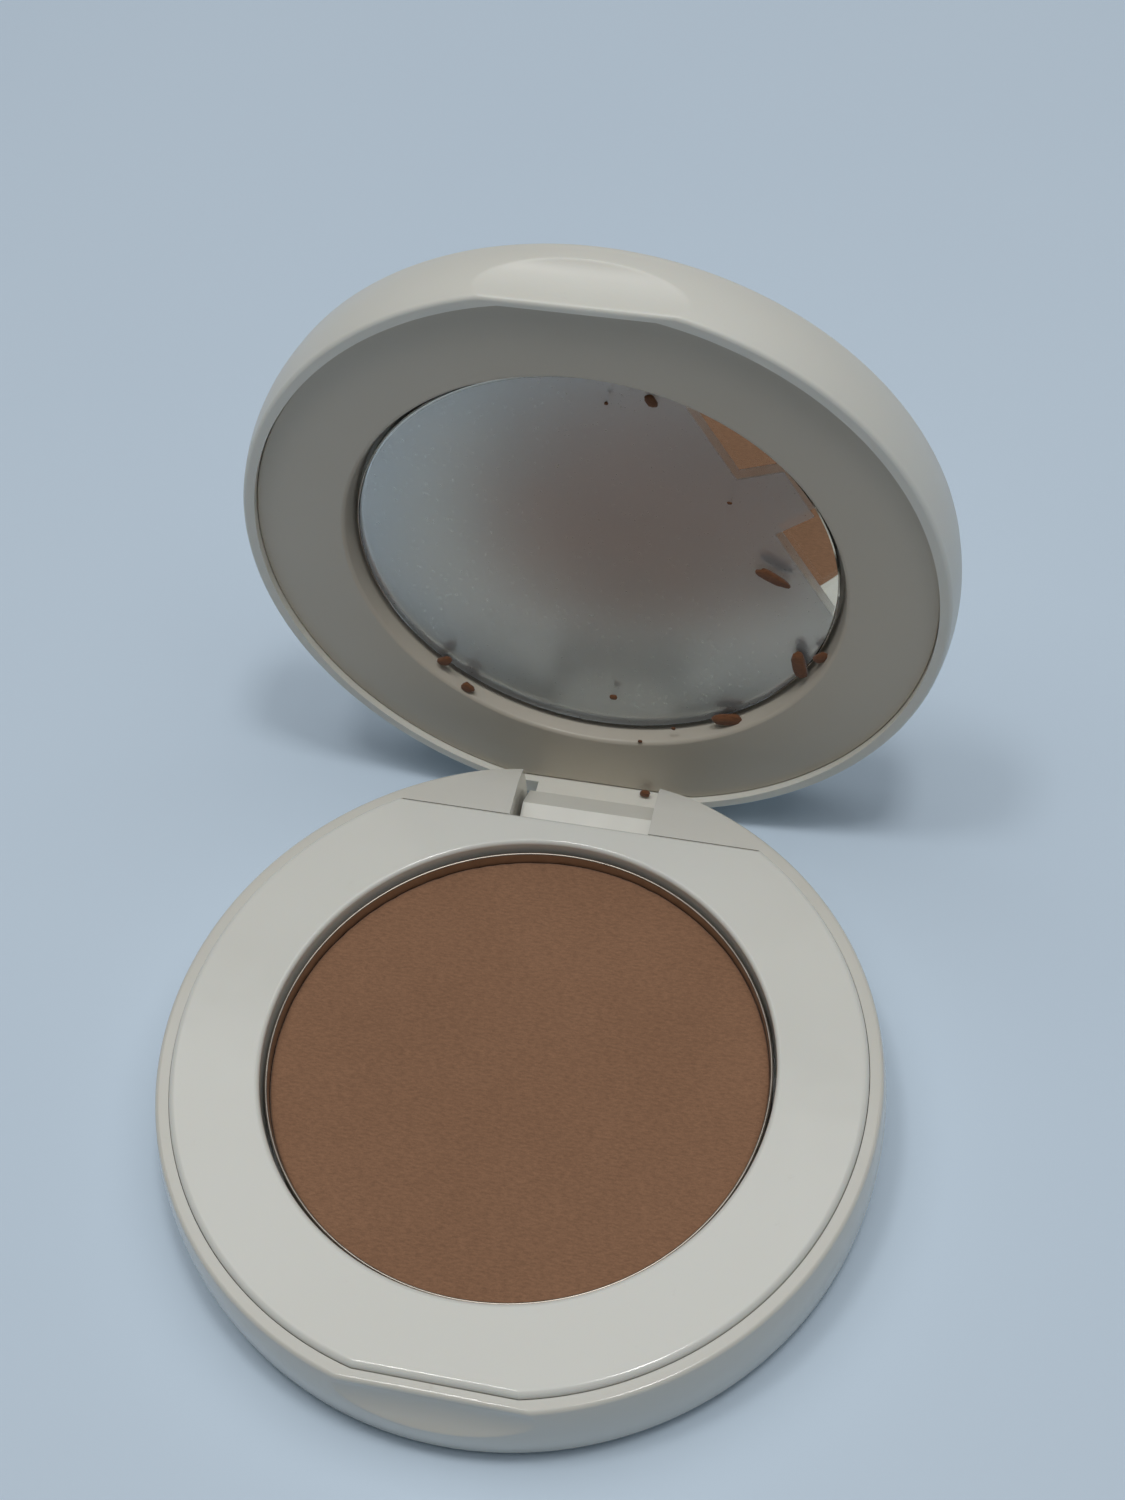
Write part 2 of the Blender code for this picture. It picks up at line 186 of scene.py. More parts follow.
def turned(name, profile, vertices=256, fineFront=0, fineCuts=4):
    # grown ring by ring from a filled circle: each point of the profile is (radius, height)
    # fineFront splits the circle's edges finer where x is less than it, at the front
    deselectAll()
    r0, z0 = profile[0]
    bpy.ops.mesh.primitive_circle_add(vertices=vertices, radius=r0, fill_type="NGON",
                                      location=(0, 0, z0))
    piece = named(name)
    if fineFront:
        editEdges(piece, lambda a, b: max(a.y, b.y) < 0 and max(abs(a.x), abs(b.x)) < fineFront)
        bpy.ops.mesh.subdivide(number_cuts=fineCuts)
        leaveEdit()
        for vert in piece.data.vertices:
            grow = r0 / hypot(vert.co.x, vert.co.y)
            vert.co.x *= grow
            vert.co.y *= grow
    editFaces(piece, lambda centre, normal: True)
    growRings(profile)
    bpy.ops.mesh.select_all(action="SELECT")
    bpy.ops.mesh.normals_make_consistent(inside=False)
    leaveEdit()
    return piece


def growRings(steps):
    # the selected faces go up through (radius, height) steps
    for (ra, za), (rb, zb) in zip(steps, steps[1:]):
        bpy.ops.mesh.extrude_region_move(TRANSFORM_OT_translate={"value": (0, 0, zb - za)})
        bpy.ops.transform.resize(value=(rb / ra, rb / ra, 1), center_override=(0, 0, zb))


def finished(piece, body, slot, material, *nodes):
    piece.data.materials.clear()
    piece.data.materials.append(material)
    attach(piece, body)
    if nodes:
        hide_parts(*nodes)
    print("made", piece.name, len(piece.data.polygons), "faces")


# sizes read from the frame
hinge = frame["joints"][0]
axisY, axisZ = hinge["pos_m"][1], hinge["pos_m"][2]
openAngle = radians(-hinge["range_deg"][0])
swing = (Matrix.Translation((0, axisY, axisZ)) @ Matrix.Rotation(-openAngle, 4, "X")
         @ Matrix.Translation((0, -axisY, -axisZ)))
shutAgain = swing.inverted()


def shutBox(node):
    # corners of a lid node with the lid shut, where it is easiest to model
    points = [shutAgain @ v.co for v in frame["nodes"][node].data.vertices]
    return (Vector([min(p[i] for p in points) for i in range(3)]),
            Vector([max(p[i] for p in points) for i in range(3)]))


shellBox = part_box("base_shell")
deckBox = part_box("base_deck")
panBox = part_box("powder_pan")
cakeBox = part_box("powder_cake")
lidBox = shutBox("lid_shell")
frameBox = shutBox("mirror_frame")
glassBox = shutBox("mirror_glass")
filmBox = shutBox("mirror_film")

far = 60 * mm                   # cutters reach this far past what they cut
onPlane = 0.001 * mm            # how near counts as lying on a plane
near = 0.02 * mm                # how near counts as lying on an edge

case = {
    "bulge": 0.4 * mm,          # how far the side walls swell beyond the rim
    "wall": 2.6 * mm,
    "edge": 1.8 * mm,           # rounding round the underside
    "rimEdge": 0.5 * mm,        # rounding of both rims
    "seam": 0.3 * mm,           # gap between moulded pieces in the frame
    "line": 0.06 * mm,          # the same gap as it shows
    "notchDepth": 1.2 * mm,     # thumb notch, at the rim
    "notchFoot": 0.36 * mm,
    "notchHeight": 5.1 * mm,
    "notchRadius": 6.5 * mm,
    "notchBlend": 0.03 * mm,    # softness of the notch's outline
    "notchWide": 15 * mm,       # half of the front that the scoop may move
    "fineFront": 14 * mm,       # half of the front that has the finer mesh
    "floor": 1.4 * mm,
    "well": 28.0 * mm,          # way through the floor of the chamber for the pan's well
    "slotFloor": 0.8 * mm,
    "sill": 0.8 * mm,           # floor of the slot behind the web
    "slotWall": 1.0 * mm,       # in front of the slot
    "cheek": 2.0 * mm,          # beside the slot
    "lap": 0.4 * mm,            # how far joined shapes reach into each other
    "rimGap": 0.3 * mm,         # between the rims when shut
    "seatEdge": 0.2 * mm,
}
hingeSizes = {
    "barrel": 3.5 * mm,
    "halfWidth": 7.35 * mm,
    "bore": 0.79 * mm,
    "sideGap": 0.45 * mm,
    "swingGap": 0.3 * mm,
    "webSetback": 1.1 * mm,     # inner face of the web behind the axis
}
caseR = shellBox[1].x - case["bulge"]
rimZ = shellBox[1].z
deckTop = deckBox[1].z
seatR = deckBox[1].x + case["seam"]
seatFront = -deckBox[0].y + case["seam"]
deckBack = deckBox[1].y
barrelR, barrelHalf = hingeSizes["barrel"], hingeSizes["halfWidth"]
slotHalf = barrelHalf + hingeSizes["sideGap"]
webY = axisY + hingeSizes["webSetback"]
lidRim = rimZ + case["rimGap"]
lidTop = lidBox[1].z
frameFront = -frameBox[0].y


def swollen(low, high, steps):
    # the side wall between two heights, swelling between them
    points = []
    for i in range(steps + 1):
        share = 2 * i / steps - 1
        points.append((caseR + case["bulge"] * (1 - share ** 2), low + (high - low) * i / steps))
    return points


def scoopNotch(piece, rim, direction):
    # presses the thumb scoop into the wall: direction is -1 below the base's rim, 1 above the lid's
    shallow = caseR - case["notchDepth"]
    deep = caseR + case["notchFoot"]
    drop = case["notchHeight"]
    middle = Vector((-(shallow + deep) / 2, -drop / 2))
    run = Vector((shallow - deep, -drop))
    reach = sqrt(case["notchRadius"] ** 2 - run.length_squared / 4)
    centre = middle + Vector((run.y, -run.x)).normalized() * reach
    soft = case["notchBlend"]
    for vert in piece.data.vertices:
        x, y, z = vert.co
        under = (z - rim) * direction       # 0 at the rim, growing away from it
        if y > 0 or abs(x) > case["notchWide"] or not -mm < under < drop + 2 * mm:
            continue
        inset = 0.0
        if under < case["rimEdge"] - near / 2:
            inset = caseR - hypot(x, y)     # the rim's rounding follows the notch
        down = max(-under, centre.y - case["notchRadius"] * 0.999)
        hollow = sqrt(max(case["notchRadius"] ** 2 - (down - centre.y) ** 2, 0))
        surface = centre.x + hollow + inset
        gap = surface - y
        vert.co.y = y + (gap + sqrt(gap * gap + soft * soft)) / 2
    piece.data.update()


# materials
def newMaterial(name):
    made = bpy.data.materials.new(name)
    made.use_nodes = True
    made.node_tree.nodes.clear()
    nodes, links = made.node_tree.nodes, made.node_tree.links
    output = nodes.new("ShaderNodeOutputMaterial")
    shader = nodes.new("ShaderNodeBsdfPrincipled")
    links.new(shader.outputs[0], output.inputs["Surface"])
    coords = nodes.new("ShaderNodeTexCoord")
    return made, nodes, links, shader, coords.outputs["Object"]


def addNoise(nodes, links, vector, scale, detail=3.0, rough=0.5):
    made = nodes.new("ShaderNodeTexNoise")
    made.inputs["Scale"].default_value = scale
    made.inputs["Detail"].default_value = detail
    made.inputs["Roughness"].default_value = rough
    links.new(vector, made.inputs["Vector"])
    return made.outputs["Fac"]


def addRamp(nodes, links, value, *stops):
    made = nodes.new("ShaderNodeValToRGB")
    links.new(value, made.inputs["Fac"])
    ramp = made.color_ramp.elements
    while len(ramp) < len(stops):
        ramp.new(0.5)
    for element, (place, colour) in zip(ramp, stops):
        element.position = place
        element.color = (*colour, 1)
    return made.outputs["Color"]


def addRange(nodes, links, value, low, high, outLow, outHigh):
    made = nodes.new("ShaderNodeMapRange")
    links.new(value, made.inputs["Value"])
    for key, number in (("From Min", low), ("From Max", high), ("To Min", outLow), ("To Max", outHigh)):
        made.inputs[key].default_value = number
    return made.outputs["Result"]


def addMath(nodes, links, operation, a, b):
    made = nodes.new("ShaderNodeMath")
    made.operation = operation
    links.new(a, made.inputs[0])
    links.new(b, made.inputs[1])
    return made.outputs[0]


def addMix(nodes, links, share, a, b, blend="MIX"):
    made = nodes.new("ShaderNodeMix")
    made.data_type = "RGBA"
    made.blend_type = blend
    for socket, value in ((made.inputs[0], share), (made.inputs[6], a), (made.inputs[7], b)):
        if isinstance(value, (int, float)):
            socket.default_value = value
        elif isinstance(value, tuple):
            socket.default_value = (*value, 1)
        else:
            links.new(value, socket)
    return made.outputs[2]


def addBump(nodes, links, height, distance, strength=1.0, under=None):
    made = nodes.new("ShaderNodeBump")
    made.inputs["Strength"].default_value = strength
    made.inputs["Distance"].default_value = distance
    links.new(height, made.inputs["Height"])
    if under is not None:
        links.new(under, made.inputs["Normal"])
    return made.outputs["Normal"]


def creamPlastic(name, colour, shade, roughness):
    # moulded plastic: a faint cloudiness, a fine skin and the odd rubbed place
    made, nodes, links, shader, place = newMaterial(name)
    cloud = addNoise(nodes, links, place, 60, 4)
    tint = addRamp(nodes, links, cloud, (0.30, shade), (0.70, colour))
    grime = addNoise(nodes, links, place, 420, 6, 0.7)
    spots = addRange(nodes, links, grime, 0.66, 0.78, 0.0, 0.12)
    links.new(addMix(nodes, links, spots, tint, (0.50, 0.42, 0.32)), shader.inputs["Base Color"])
    rub = addNoise(nodes, links, place, 180, 5, 0.6)
    links.new(addRange(nodes, links, rub, 0.3, 0.7, roughness - 0.04, roughness + 0.06),
              shader.inputs["Roughness"])
    skin = addNoise(nodes, links, place, 1500, 3)
    swell = addNoise(nodes, links, place, 130, 2)
    normal = addBump(nodes, links, swell, 0.08 * mm, 0.35)
    links.new(addBump(nodes, links, skin, 0.006 * mm, 0.5, normal), shader.inputs["Normal"])
    shader.inputs["Subsurface Weight"].default_value = 0.12
    shader.inputs["Subsurface Radius"].default_value = (1.6 * mm, 1.1 * mm, 0.7 * mm)
    shader.inputs["Subsurface Scale"].default_value = 1.0
    shader.inputs["IOR"].default_value = 1.49
    return made


def pressedPowder(name, depth=1.0):
    # matt powder with the print of the pressing cloth: fine threads across it, broken by grain
    # depth under 1 makes it darker and redder
    made, nodes, links, shader, place = newMaterial(name)
    stretch = nodes.new("ShaderNodeMapping")
    stretch.inputs["Scale"].default_value = (0.35, 1.0, 1.0)
    stretch.inputs["Rotation"].default_value = (0, 0, radians(-6))
    links.new(place, stretch.inputs["Vector"])
    threads = addNoise(nodes, links, stretch.outputs[0], 4200, 3, 0.6)
    grain = addNoise(nodes, links, place, 7500, 3, 0.7)
    patches = addNoise(nodes, links, place, 85, 5, 0.6)
    dark, light = ((depth * 0.280, depth ** 1.5 * 0.146, depth ** 2 * 0.082),
                   (depth * 0.312, depth ** 1.5 * 0.165, depth ** 2 * 0.094))
    tone = addRamp(nodes, links, patches, (0.25, dark), (0.75, light))
    fine = addRange(nodes, links, threads, 0.3, 0.7, 0.84, 1.14)
    speck = addRange(nodes, links, grain, 0.3, 0.75, 0.87, 1.13)
    both = addMath(nodes, links, "MULTIPLY", fine, speck)
    grey = nodes.new("ShaderNodeCombineColor")
    for i in range(3):
        links.new(both, grey.inputs[i])
    links.new(addMix(nodes, links, 1.0, tone, grey.outputs[0], "MULTIPLY"),
              shader.inputs["Base Color"])
    shader.inputs["Roughness"].default_value = 0.93
    shader.inputs["Specular IOR Level"].default_value = 0.25
    shader.inputs["Sheen Weight"].default_value = 0.25
    shader.inputs["Sheen Roughness"].default_value = 0.5
    normal = addBump(nodes, links, threads, 0.05 * mm, 0.7)
    links.new(addBump(nodes, links, grain, 0.03 * mm, 0.5, normal), shader.inputs["Normal"])
    return made


def metalSkin(name, colour, roughness):
    made, nodes, links, shader, place = newMaterial(name)
    worn = addNoise(nodes, links, place, 900, 5, 0.6)
    dark = tuple(c * 0.82 for c in colour)
    links.new(addRamp(nodes, links, worn, (0.3, dark), (0.7, colour)), shader.inputs["Base Color"])
    links.new(addRange(nodes, links, worn, 0.3, 0.7, roughness * 0.8, roughness * 1.3),
              shader.inputs["Roughness"])
    shader.inputs["Metallic"].default_value = 1.0
    links.new(addBump(nodes, links, worn, 0.02 * mm, 0.4), shader.inputs["Normal"])
    return made


def clearGlass(name):
    made, nodes, links, shader, place = newMaterial(name)
    tint = addNoise(nodes, links, place, 40, 2)
    links.new(addRamp(nodes, links, tint, (0.3, (0.95, 0.97, 0.96)), (0.7, (0.965, 0.98, 0.972))),
              shader.inputs["Base Color"])
    shader.inputs["Roughness"].default_value = 0.0
    shader.inputs["Transmission Weight"].default_value = 1.0
    shader.inputs["IOR"].default_value = 1.5
    return made


def silverCoat(name):
    made, nodes, links, shader, place = newMaterial(name)
    haze = addNoise(nodes, links, place, 220, 5, 0.6)
    links.new(addRamp(nodes, links, haze, (0.3, (0.86, 0.87, 0.86)), (0.7, (0.89, 0.895, 0.885))),
              shader.inputs["Base Color"])
    links.new(addRange(nodes, links, haze, 0.4, 0.8, 0.0, 0.015), shader.inputs["Roughness"])
    shader.inputs["Metallic"].default_value = 1.0
    return made


def frostedFilm(name):
    # protective film: mostly scattered transmission with a little milky haze
    made, nodes, links, shader, place = newMaterial(name)
    mist = addNoise(nodes, links, place, 70, 4, 0.55)
    links.new(addRamp(nodes, links, mist, (0.3, (0.90, 0.93, 0.95)), (0.7, (0.95, 0.96, 0.97))),
              shader.inputs["Base Color"])
    grain = addNoise(nodes, links, place, 2600, 3, 0.6)
    links.new(addRange(nodes, links, grain, 0.3, 0.7, 0.27, 0.33), shader.inputs["Roughness"])
    shader.inputs["Transmission Weight"].default_value = 0.90
    shader.inputs["IOR"].default_value = 1.45
    links.new(addBump(nodes, links, grain, 0.01 * mm, 0.3), shader.inputs["Normal"])
    return made


def paperTape(name):
    made, nodes, links, shader, place = newMaterial(name)
    fibre = addNoise(nodes, links, place, 900, 5, 0.7)
    links.new(addRamp(nodes, links, fibre, (0.3, (0.74, 0.73, 0.68)), (0.7, (0.84, 0.83, 0.79))),
              shader.inputs["Base Color"])
    shader.inputs["Roughness"].default_value = 0.7
    links.new(addBump(nodes, links, fibre, 0.03 * mm, 0.5), shader.inputs["Normal"])
    return made


finishes = {
    # painted shade: the base's outside gets the same cream plastic as the lid, made darker for the shade
    # on its walls
    "case": creamPlastic("creamPlastic", (0.735, 0.712, 0.645), (0.720, 0.696, 0.628), 0.11),
    "deck": creamPlastic("deckPlastic", (0.820, 0.808, 0.748), (0.808, 0.794, 0.730), 0.09),
    "cover": creamPlastic("coverPlastic", (0.805, 0.788, 0.720), (0.790, 0.772, 0.700), 0.36),
    # painted shade: the frame's cream plastic made darker and warmer, for its shade and the warm light
    # thrown up from the deck and powder
    "liner": creamPlastic("linerPlastic", (0.62, 0.565, 0.475), (0.60, 0.545, 0.455), 0.34),
    "powder": pressedPowder("pressedPowder"),
    "tin": metalSkin("tinplate", (0.50, 0.44, 0.38), 0.34),
    "steel": metalSkin("pinSteel", (0.58, 0.58, 0.59), 0.25),
    "glass": clearGlass("mirrorGlassClear"),
    "silver": silverCoat("mirrorSilvering"),
    "crumb": pressedPowder("powderCrumb", 0.62),
    "film": frostedFilm("frostedFilm"),
    "tape": paperTape("paperTape"),
}
print("materials ready")


def chordedCutter(name, radius, front, back, low, high):
    made = roundDisc(name, radius, low, high)
    sliceOff(made, (0, -front, 0), (0, -1, 0))
    if back:
        sliceOff(made, (0, back, 0), (0, 1, 0))
    return made


def makeBaseShell():
    rim, edge = case["rimEdge"], case["edge"]
    profile = arcPoints((caseR - edge, edge), edge, -90, 0, 8)
    wall = swollen(edge, rimZ - rim, 80)
    profile += wall[1:] + arcPoints((caseR - rim, rimZ - rim), rim, 0, 90, 6)[1:]
    shell = turned("baseShell", profile, fineFront=case["fineFront"])
    scoopNotch(shell, rimZ, -1)
    seatLow = deckBox[0].z - case["seam"]
    chamber = roundDisc("cutChamber", caseR - case["wall"], case["floor"], seatLow + mm)
    cutAway(shell, chamber)
    slotFront = axisY - barrelR - hingeSizes["swingGap"]
    cheek = slotHalf + case["cheek"]
    weldOn(shell, block("hingeBlock", (-cheek, slotFront - case["slotWall"], case["floor"] / 2),
                        (cheek, caseR - case["wall"] + 1.5 * case["lap"], seatLow + case["lap"])))
    sill = webY + case["sill"]
    cutAway(
        shell,
        roundDisc("cutWell", case["well"], case["floor"], seatLow + 2 * mm),
        chordedCutter("cutSeat", seatR, seatFront, deckBack + case["seam"], seatLow, rimZ + far),
        block("cutSlot", (-slotHalf, slotFront, case["slotFloor"]), (slotHalf, far, rimZ + far)),
        block("cutSill", (-slotHalf, sill, -far), (slotHalf, far, case["slotFloor"] + mm)),
        crossRod("cutBore", hingeSizes["bore"], far, 32))
    ears = block("cutEars", (-far, axisY, axisZ), (far, far, rimZ + far))
    cutAway(ears, crossRod("earRound", rimZ - axisZ, far + case["wall"], 192))
    cutAway(shell, ears)
    onSeat = lambda p: abs(p.z - rimZ) < onPlane and hypot(p.x, p.y) < seatR + near
    bevelEdges(shell, lambda a, b: onSeat(a) and onSeat(b), case["seatEdge"], 3)
    smooth(shell)
    # the cream plastic here is darkened as painted shade on the base's walls
    finished(shell, "base", "cream_plastic", finishes["case"], "base_shell")


# deck, the raised plate round the powder
deck = {
    "edge": 0.7 * mm,           # rounding round the outside
    "corner": 1.2 * mm,         # where the straight edges meet the round ones
    "lip": 0.5 * mm,            # rounding of the powder opening
    "plate": 1.4 * mm,
    "skirt": 1.5 * mm,          # height below the plate
    "skirtWall": 1.2 * mm,
    "opening": 26.6 * mm,
    "wellWall": 1.1 * mm,
    "wellFloor": 1.0 * mm,
    "pushHole": 2.5 * mm,
}


def makeDeck():
    low = deckTop - deck["plate"] - deck["skirt"]
    radius, front = seatR - case["line"], seatFront - case["line"]
    back = deckBack
    edge = deck["edge"]
    plate = chordedCutter("baseDeck", radius, front, back, low, deckTop - edge)
    corners = [(sqrt(radius ** 2 - y ** 2), y) for y in (-front, back)]
    atCorner = lambda p: any(hypot(abs(p.x) - x, p.y - y) < 2.5 * near for x, y in corners)
    bevelEdges(plate, lambda a, b: abs(a.z - b.z) > mm and atCorner(a) and atCorner(b),
               deck["corner"], 5)
    editFaces(plate, lambda centre, normal: centre.z > deckTop - edge - near / 2)
    growRings(arcPoints((radius - edge, deckTop - edge), edge, 0, 90, 8))
    leaveEdit()
    inset = case["seam"] + deck["skirtWall"]
    hollow = chordedCutter("cutHollow", seatR - inset, seatFront - inset,
                           deckBack - deck["skirtWall"], low - mm, deckTop - deck["plate"])
    cutAway(plate, hollow)
    wellLow = deckBox[0].z
    well = roundDisc("deckWell", deck["opening"] + deck["wellWall"], wellLow,
                     deckTop - deck["plate"] / 2)
    weldOn(plate, well)
    wellFloor = wellLow + deck["wellFloor"]
    cutAway(plate, roundDisc("cutOpening", deck["opening"], wellFloor, deckTop + 5 * mm),
            roundDisc("cutPushHole", deck["pushHole"], wellLow - mm, wellFloor + mm, 64))
    inner = lambda p: abs(p.z - deckTop) < onPlane and hypot(p.x, p.y) < deck["opening"] + near
    bevelEdges(plate, lambda a, b: inner(a) and inner(b), deck["lip"], 6)
    smooth(plate)
    finished(plate, "base", "deck_plastic", finishes["deck"], "base_deck")


# powder pan and powder
pan = {
    "sheet": 0.3 * mm,
    "fillet": 0.8 * mm,
}
powder = {
    "corner": 0.5 * mm,         # at the bottom of the pan
    "edge": 0.25 * mm,          # rounding of the upper edge
    "rings": 40,
    "roll": 0.035 * mm,         # long waves of the surface
    "grain": 0.02 * mm,
    "crumble": 0.22 * mm,       # how far the edge has broken away
    "crumbleWide": 0.9 * mm,
    "settle": 0.05 * mm,
}


def makePan():
    r, low, high = panBox[1].x, panBox[0].z, panBox[1].z
    t, f = pan["sheet"], pan["fillet"]
    outside = arcPoints((r - f, low + f), f, -90, 0, 6)
    lip = arcPoints((r - t / 2, high - t / 2), t / 2, 0, 180, 8)
    inside = arcPoints((r - f, low + f), f - t, 0, -90, 6)
    dish = turned("powderPan", outside + lip + inside, 256)
    smooth(dish, 40)
    finished(dish, "base", "tinplate", finishes["tin"], "powder_pan")


def makePowder():
    r, low, high = cakeBox[1].x, cakeBox[0].z, cakeBox[1].z
    corner, edge, count = powder["corner"], powder["edge"], powder["rings"]
    rings = [(r - corner, low), (r, low + corner), (r, high - edge),
             (r - 0.24 * edge, high - 0.36 * edge), (r - 0.88 * edge, high)]
    rings += [(r * (1 - i / count), high) for i in range(1, count)]
    cake = turned("pressedCake", rings, 320)
    for vert in cake.data.vertices:
        if vert.co.z < high - edge - near:
            continue
        p = vert.co.copy()
        wave = noise.noise(p * 130) * powder["roll"] + noise.noise(p * 600) * powder["grain"]
        atEdge = max(0.0, 1 - (r - hypot(p.x, p.y)) / powder["crumbleWide"])
        crumble = max(0.0, noise.noise(p * 900)) * powder["crumble"] * atEdge
        vert.co.z = min(p.z + wave - crumble - powder["settle"], high)
    cake.data.update()
    smooth(cake, 50)
    finished(cake, "base", "pressed_powder", finishes["powder"], "powder_cake")


# lid shell, modelled shut and swung open
lid = {
    "wall": 1.3 * mm,
    "top": 1.2 * mm,
    "crown": 0.5 * mm,
    "edge": 1.6 * mm,
    "rearCut": 0.3 * mm,
    "web": 1.8 * mm,
    "hingeBlock": 3.0 * mm,
    "flats": ((-40, 2.5), (2.5, 62)),   # of the barrel, in degrees behind straight up when open
    "blockLap": 0.5 * mm,
}


def makeKnuckle():
    # a barrel with two flats, which face up when the lid is open
    knuckle = crossRod("lidBarrel", barrelR, barrelHalf, 128)
    for low, high in lid["flats"]:
        tilt = radians((low + high) / 2)
        reach = barrelR * cos(radians((high - low) / 2))
        away = Vector((0, sin(tilt), cos(tilt)))
        point = shutAgain @ (Vector((0, axisY, axisZ)) + away * reach)
        away.rotate(shutAgain.to_quaternion())
        sliceOff(knuckle, point, away)
    return knuckle


def makeLidShell():
    rim, edge, crown = case["rimEdge"], lid["edge"], lid["crown"]
    profile = arcPoints((caseR - rim, lidRim + rim), rim, -90, 0, 6)
    profile += swollen(lidRim + rim, lidTop - crown - edge, 60)[1:]
    shoulder = arcPoints((caseR - edge, lidTop - crown - edge), edge, 0, 82, 8)
    profile += shoulder[1:]
    endR, endZ = shoulder[-1]
    inwards = [1 - i / 20 for i in range(1, 20)]
    profile += [(endR * part, lidTop - (lidTop - endZ) * part ** 2) for part in inwards]
    shell = turned("lidShell", profile, fineFront=case["fineFront"])
    scoopNotch(shell, lidRim, 1)
    inner = caseR - lid["wall"]
    roof = lidTop - crown - lid["top"]
    innerFront = frameFront + case["seam"]
    hollow = chordedCutter("cutInside", inner, innerFront, 0, lidRim - 5 * mm, roof)
    bevelEdges(hollow, lambda a, b: min(a.z, b.z) > roof - onPlane, edge, 5)
    cutAway(shell, hollow)
    inRim = lambda p: abs(p.z - lidRim) < onPlane and hypot(p.x, p.y) < inner + near
    bevelEdges(shell, lambda a, b: inRim(a) and inRim(b), case["seatEdge"], 3)
    back = inner + lid["blockLap"]
    half = sqrt(back ** 2 - webY ** 2)
    top = frameBox[0].z + lid["hingeBlock"]
    weldOn(shell, block("lidBlock", (-half, webY, lidRim), (half, back, top)),
           block("lidWeb", (-barrelHalf + near / 2, webY, axisZ),
                 (barrelHalf - near / 2, webY + lid["web"], top - mm)),
           makeKnuckle())
    cutAway(shell, crossRod("cutBarrelBore", hingeSizes["bore"], 1.5 * barrelHalf, 32),
            block("cutRear", (-far, caseR - lid["rearCut"], -far), (far, far, far)))
    smooth(shell)
    shell.data.transform(swing)
    finished(shell, "lid", "cream_plastic", finishes["cover"], "lid_shell")


# mirror frame, mirror and film
mirror = {
    "lip": 26.7 * mm,
    "pocket": 26.0 * mm,        # radius at the pocket's floor
    "lipRound": 0.4 * mm,
    "plate": 1.2 * mm,
    "cupWall": 1.0 * mm,
    "floorDepth": 3.3 * mm,
    "plateEdge": 0.18 * mm,
    "grind": 0.12 * mm,         # ground edge of the glass
    "coatDeep": 0.04 * mm,      # silvering, from the back of the glass
    "coat": 0.02 * mm,
}


def makeMirrorFrame():
    low, high = frameBox
    grow = case["seam"] - case["line"]
    radius, front, back = high.x + grow, frameFront + grow, high.y + grow * 0.6
    plate = chordedCutter("mirrorFrame", radius, front, back, low.z, low.z + mirror["plate"])
    bevelEdges(plate, lambda a, b: max(a.z, b.z) < low.z + onPlane, mirror["plateEdge"], 3)
    cupR = mirror["pocket"] + mirror["cupWall"]
    weldOn(plate, roundDisc("frameCup", cupR, low.z + mirror["plate"] / 2, high.z))
    floor = low.z + mirror["floorDepth"]
    slope = (mirror["lip"] - mirror["pocket"]) / mirror["floorDepth"]
    past = 2 * mm
    cutAway(plate, turned("cutPocket", [(mirror["lip"] + slope * past, low.z - past),
                                        (mirror["pocket"], floor)]))
    onLip = lambda p: abs(p.z - low.z) < onPlane and hypot(p.x, p.y) < mirror["lip"] + 2.5 * near
    bevelEdges(plate, lambda a, b: onLip(a) and onLip(b), mirror["lipRound"], 5)
    smooth(plate)
    plate.data.transform(swing)
    # the frame's colour holds painted shade and painted warm bounce light
    finished(plate, "lid", "frame_plastic", finishes["liner"], "mirror_frame")


def makeMirror():
    r, low, high, g = glassBox[1].x, glassBox[0].z, glassBox[1].z, mirror["grind"]
    glass = turned("mirrorGlass", [(r - g, low), (r, low + g), (r, high - g), (r - g, high)], 256)
    smooth(glass, 20)
    glass.data.transform(swing)
    finished(glass, "lid", "mirror_silver", finishes["glass"], "mirror_glass")
    edge = r - 2 * g                    # the silvering stops short of the ground edge
    coatLow = high - mirror["coatDeep"]
    coat = turned("mirrorSilvering", [(edge, coatLow), (edge, coatLow + mirror["coat"])], 256)
    smooth(coat, 20)
    coat.data.transform(swing)
    finished(coat, "lid", "mirror_silver", finishes["silver"])


film = {
    "radius": 25.4 * mm,
    "cutDepth": 5.3 * mm,       # straight cut on one side
    "cutTurn": radians(-30),
    "tabWide": 8.0 * mm,
    "tabEnd": 6.4 * mm,
    "tabAt": -1.1 * mm,         # along the cut, from its middle
}


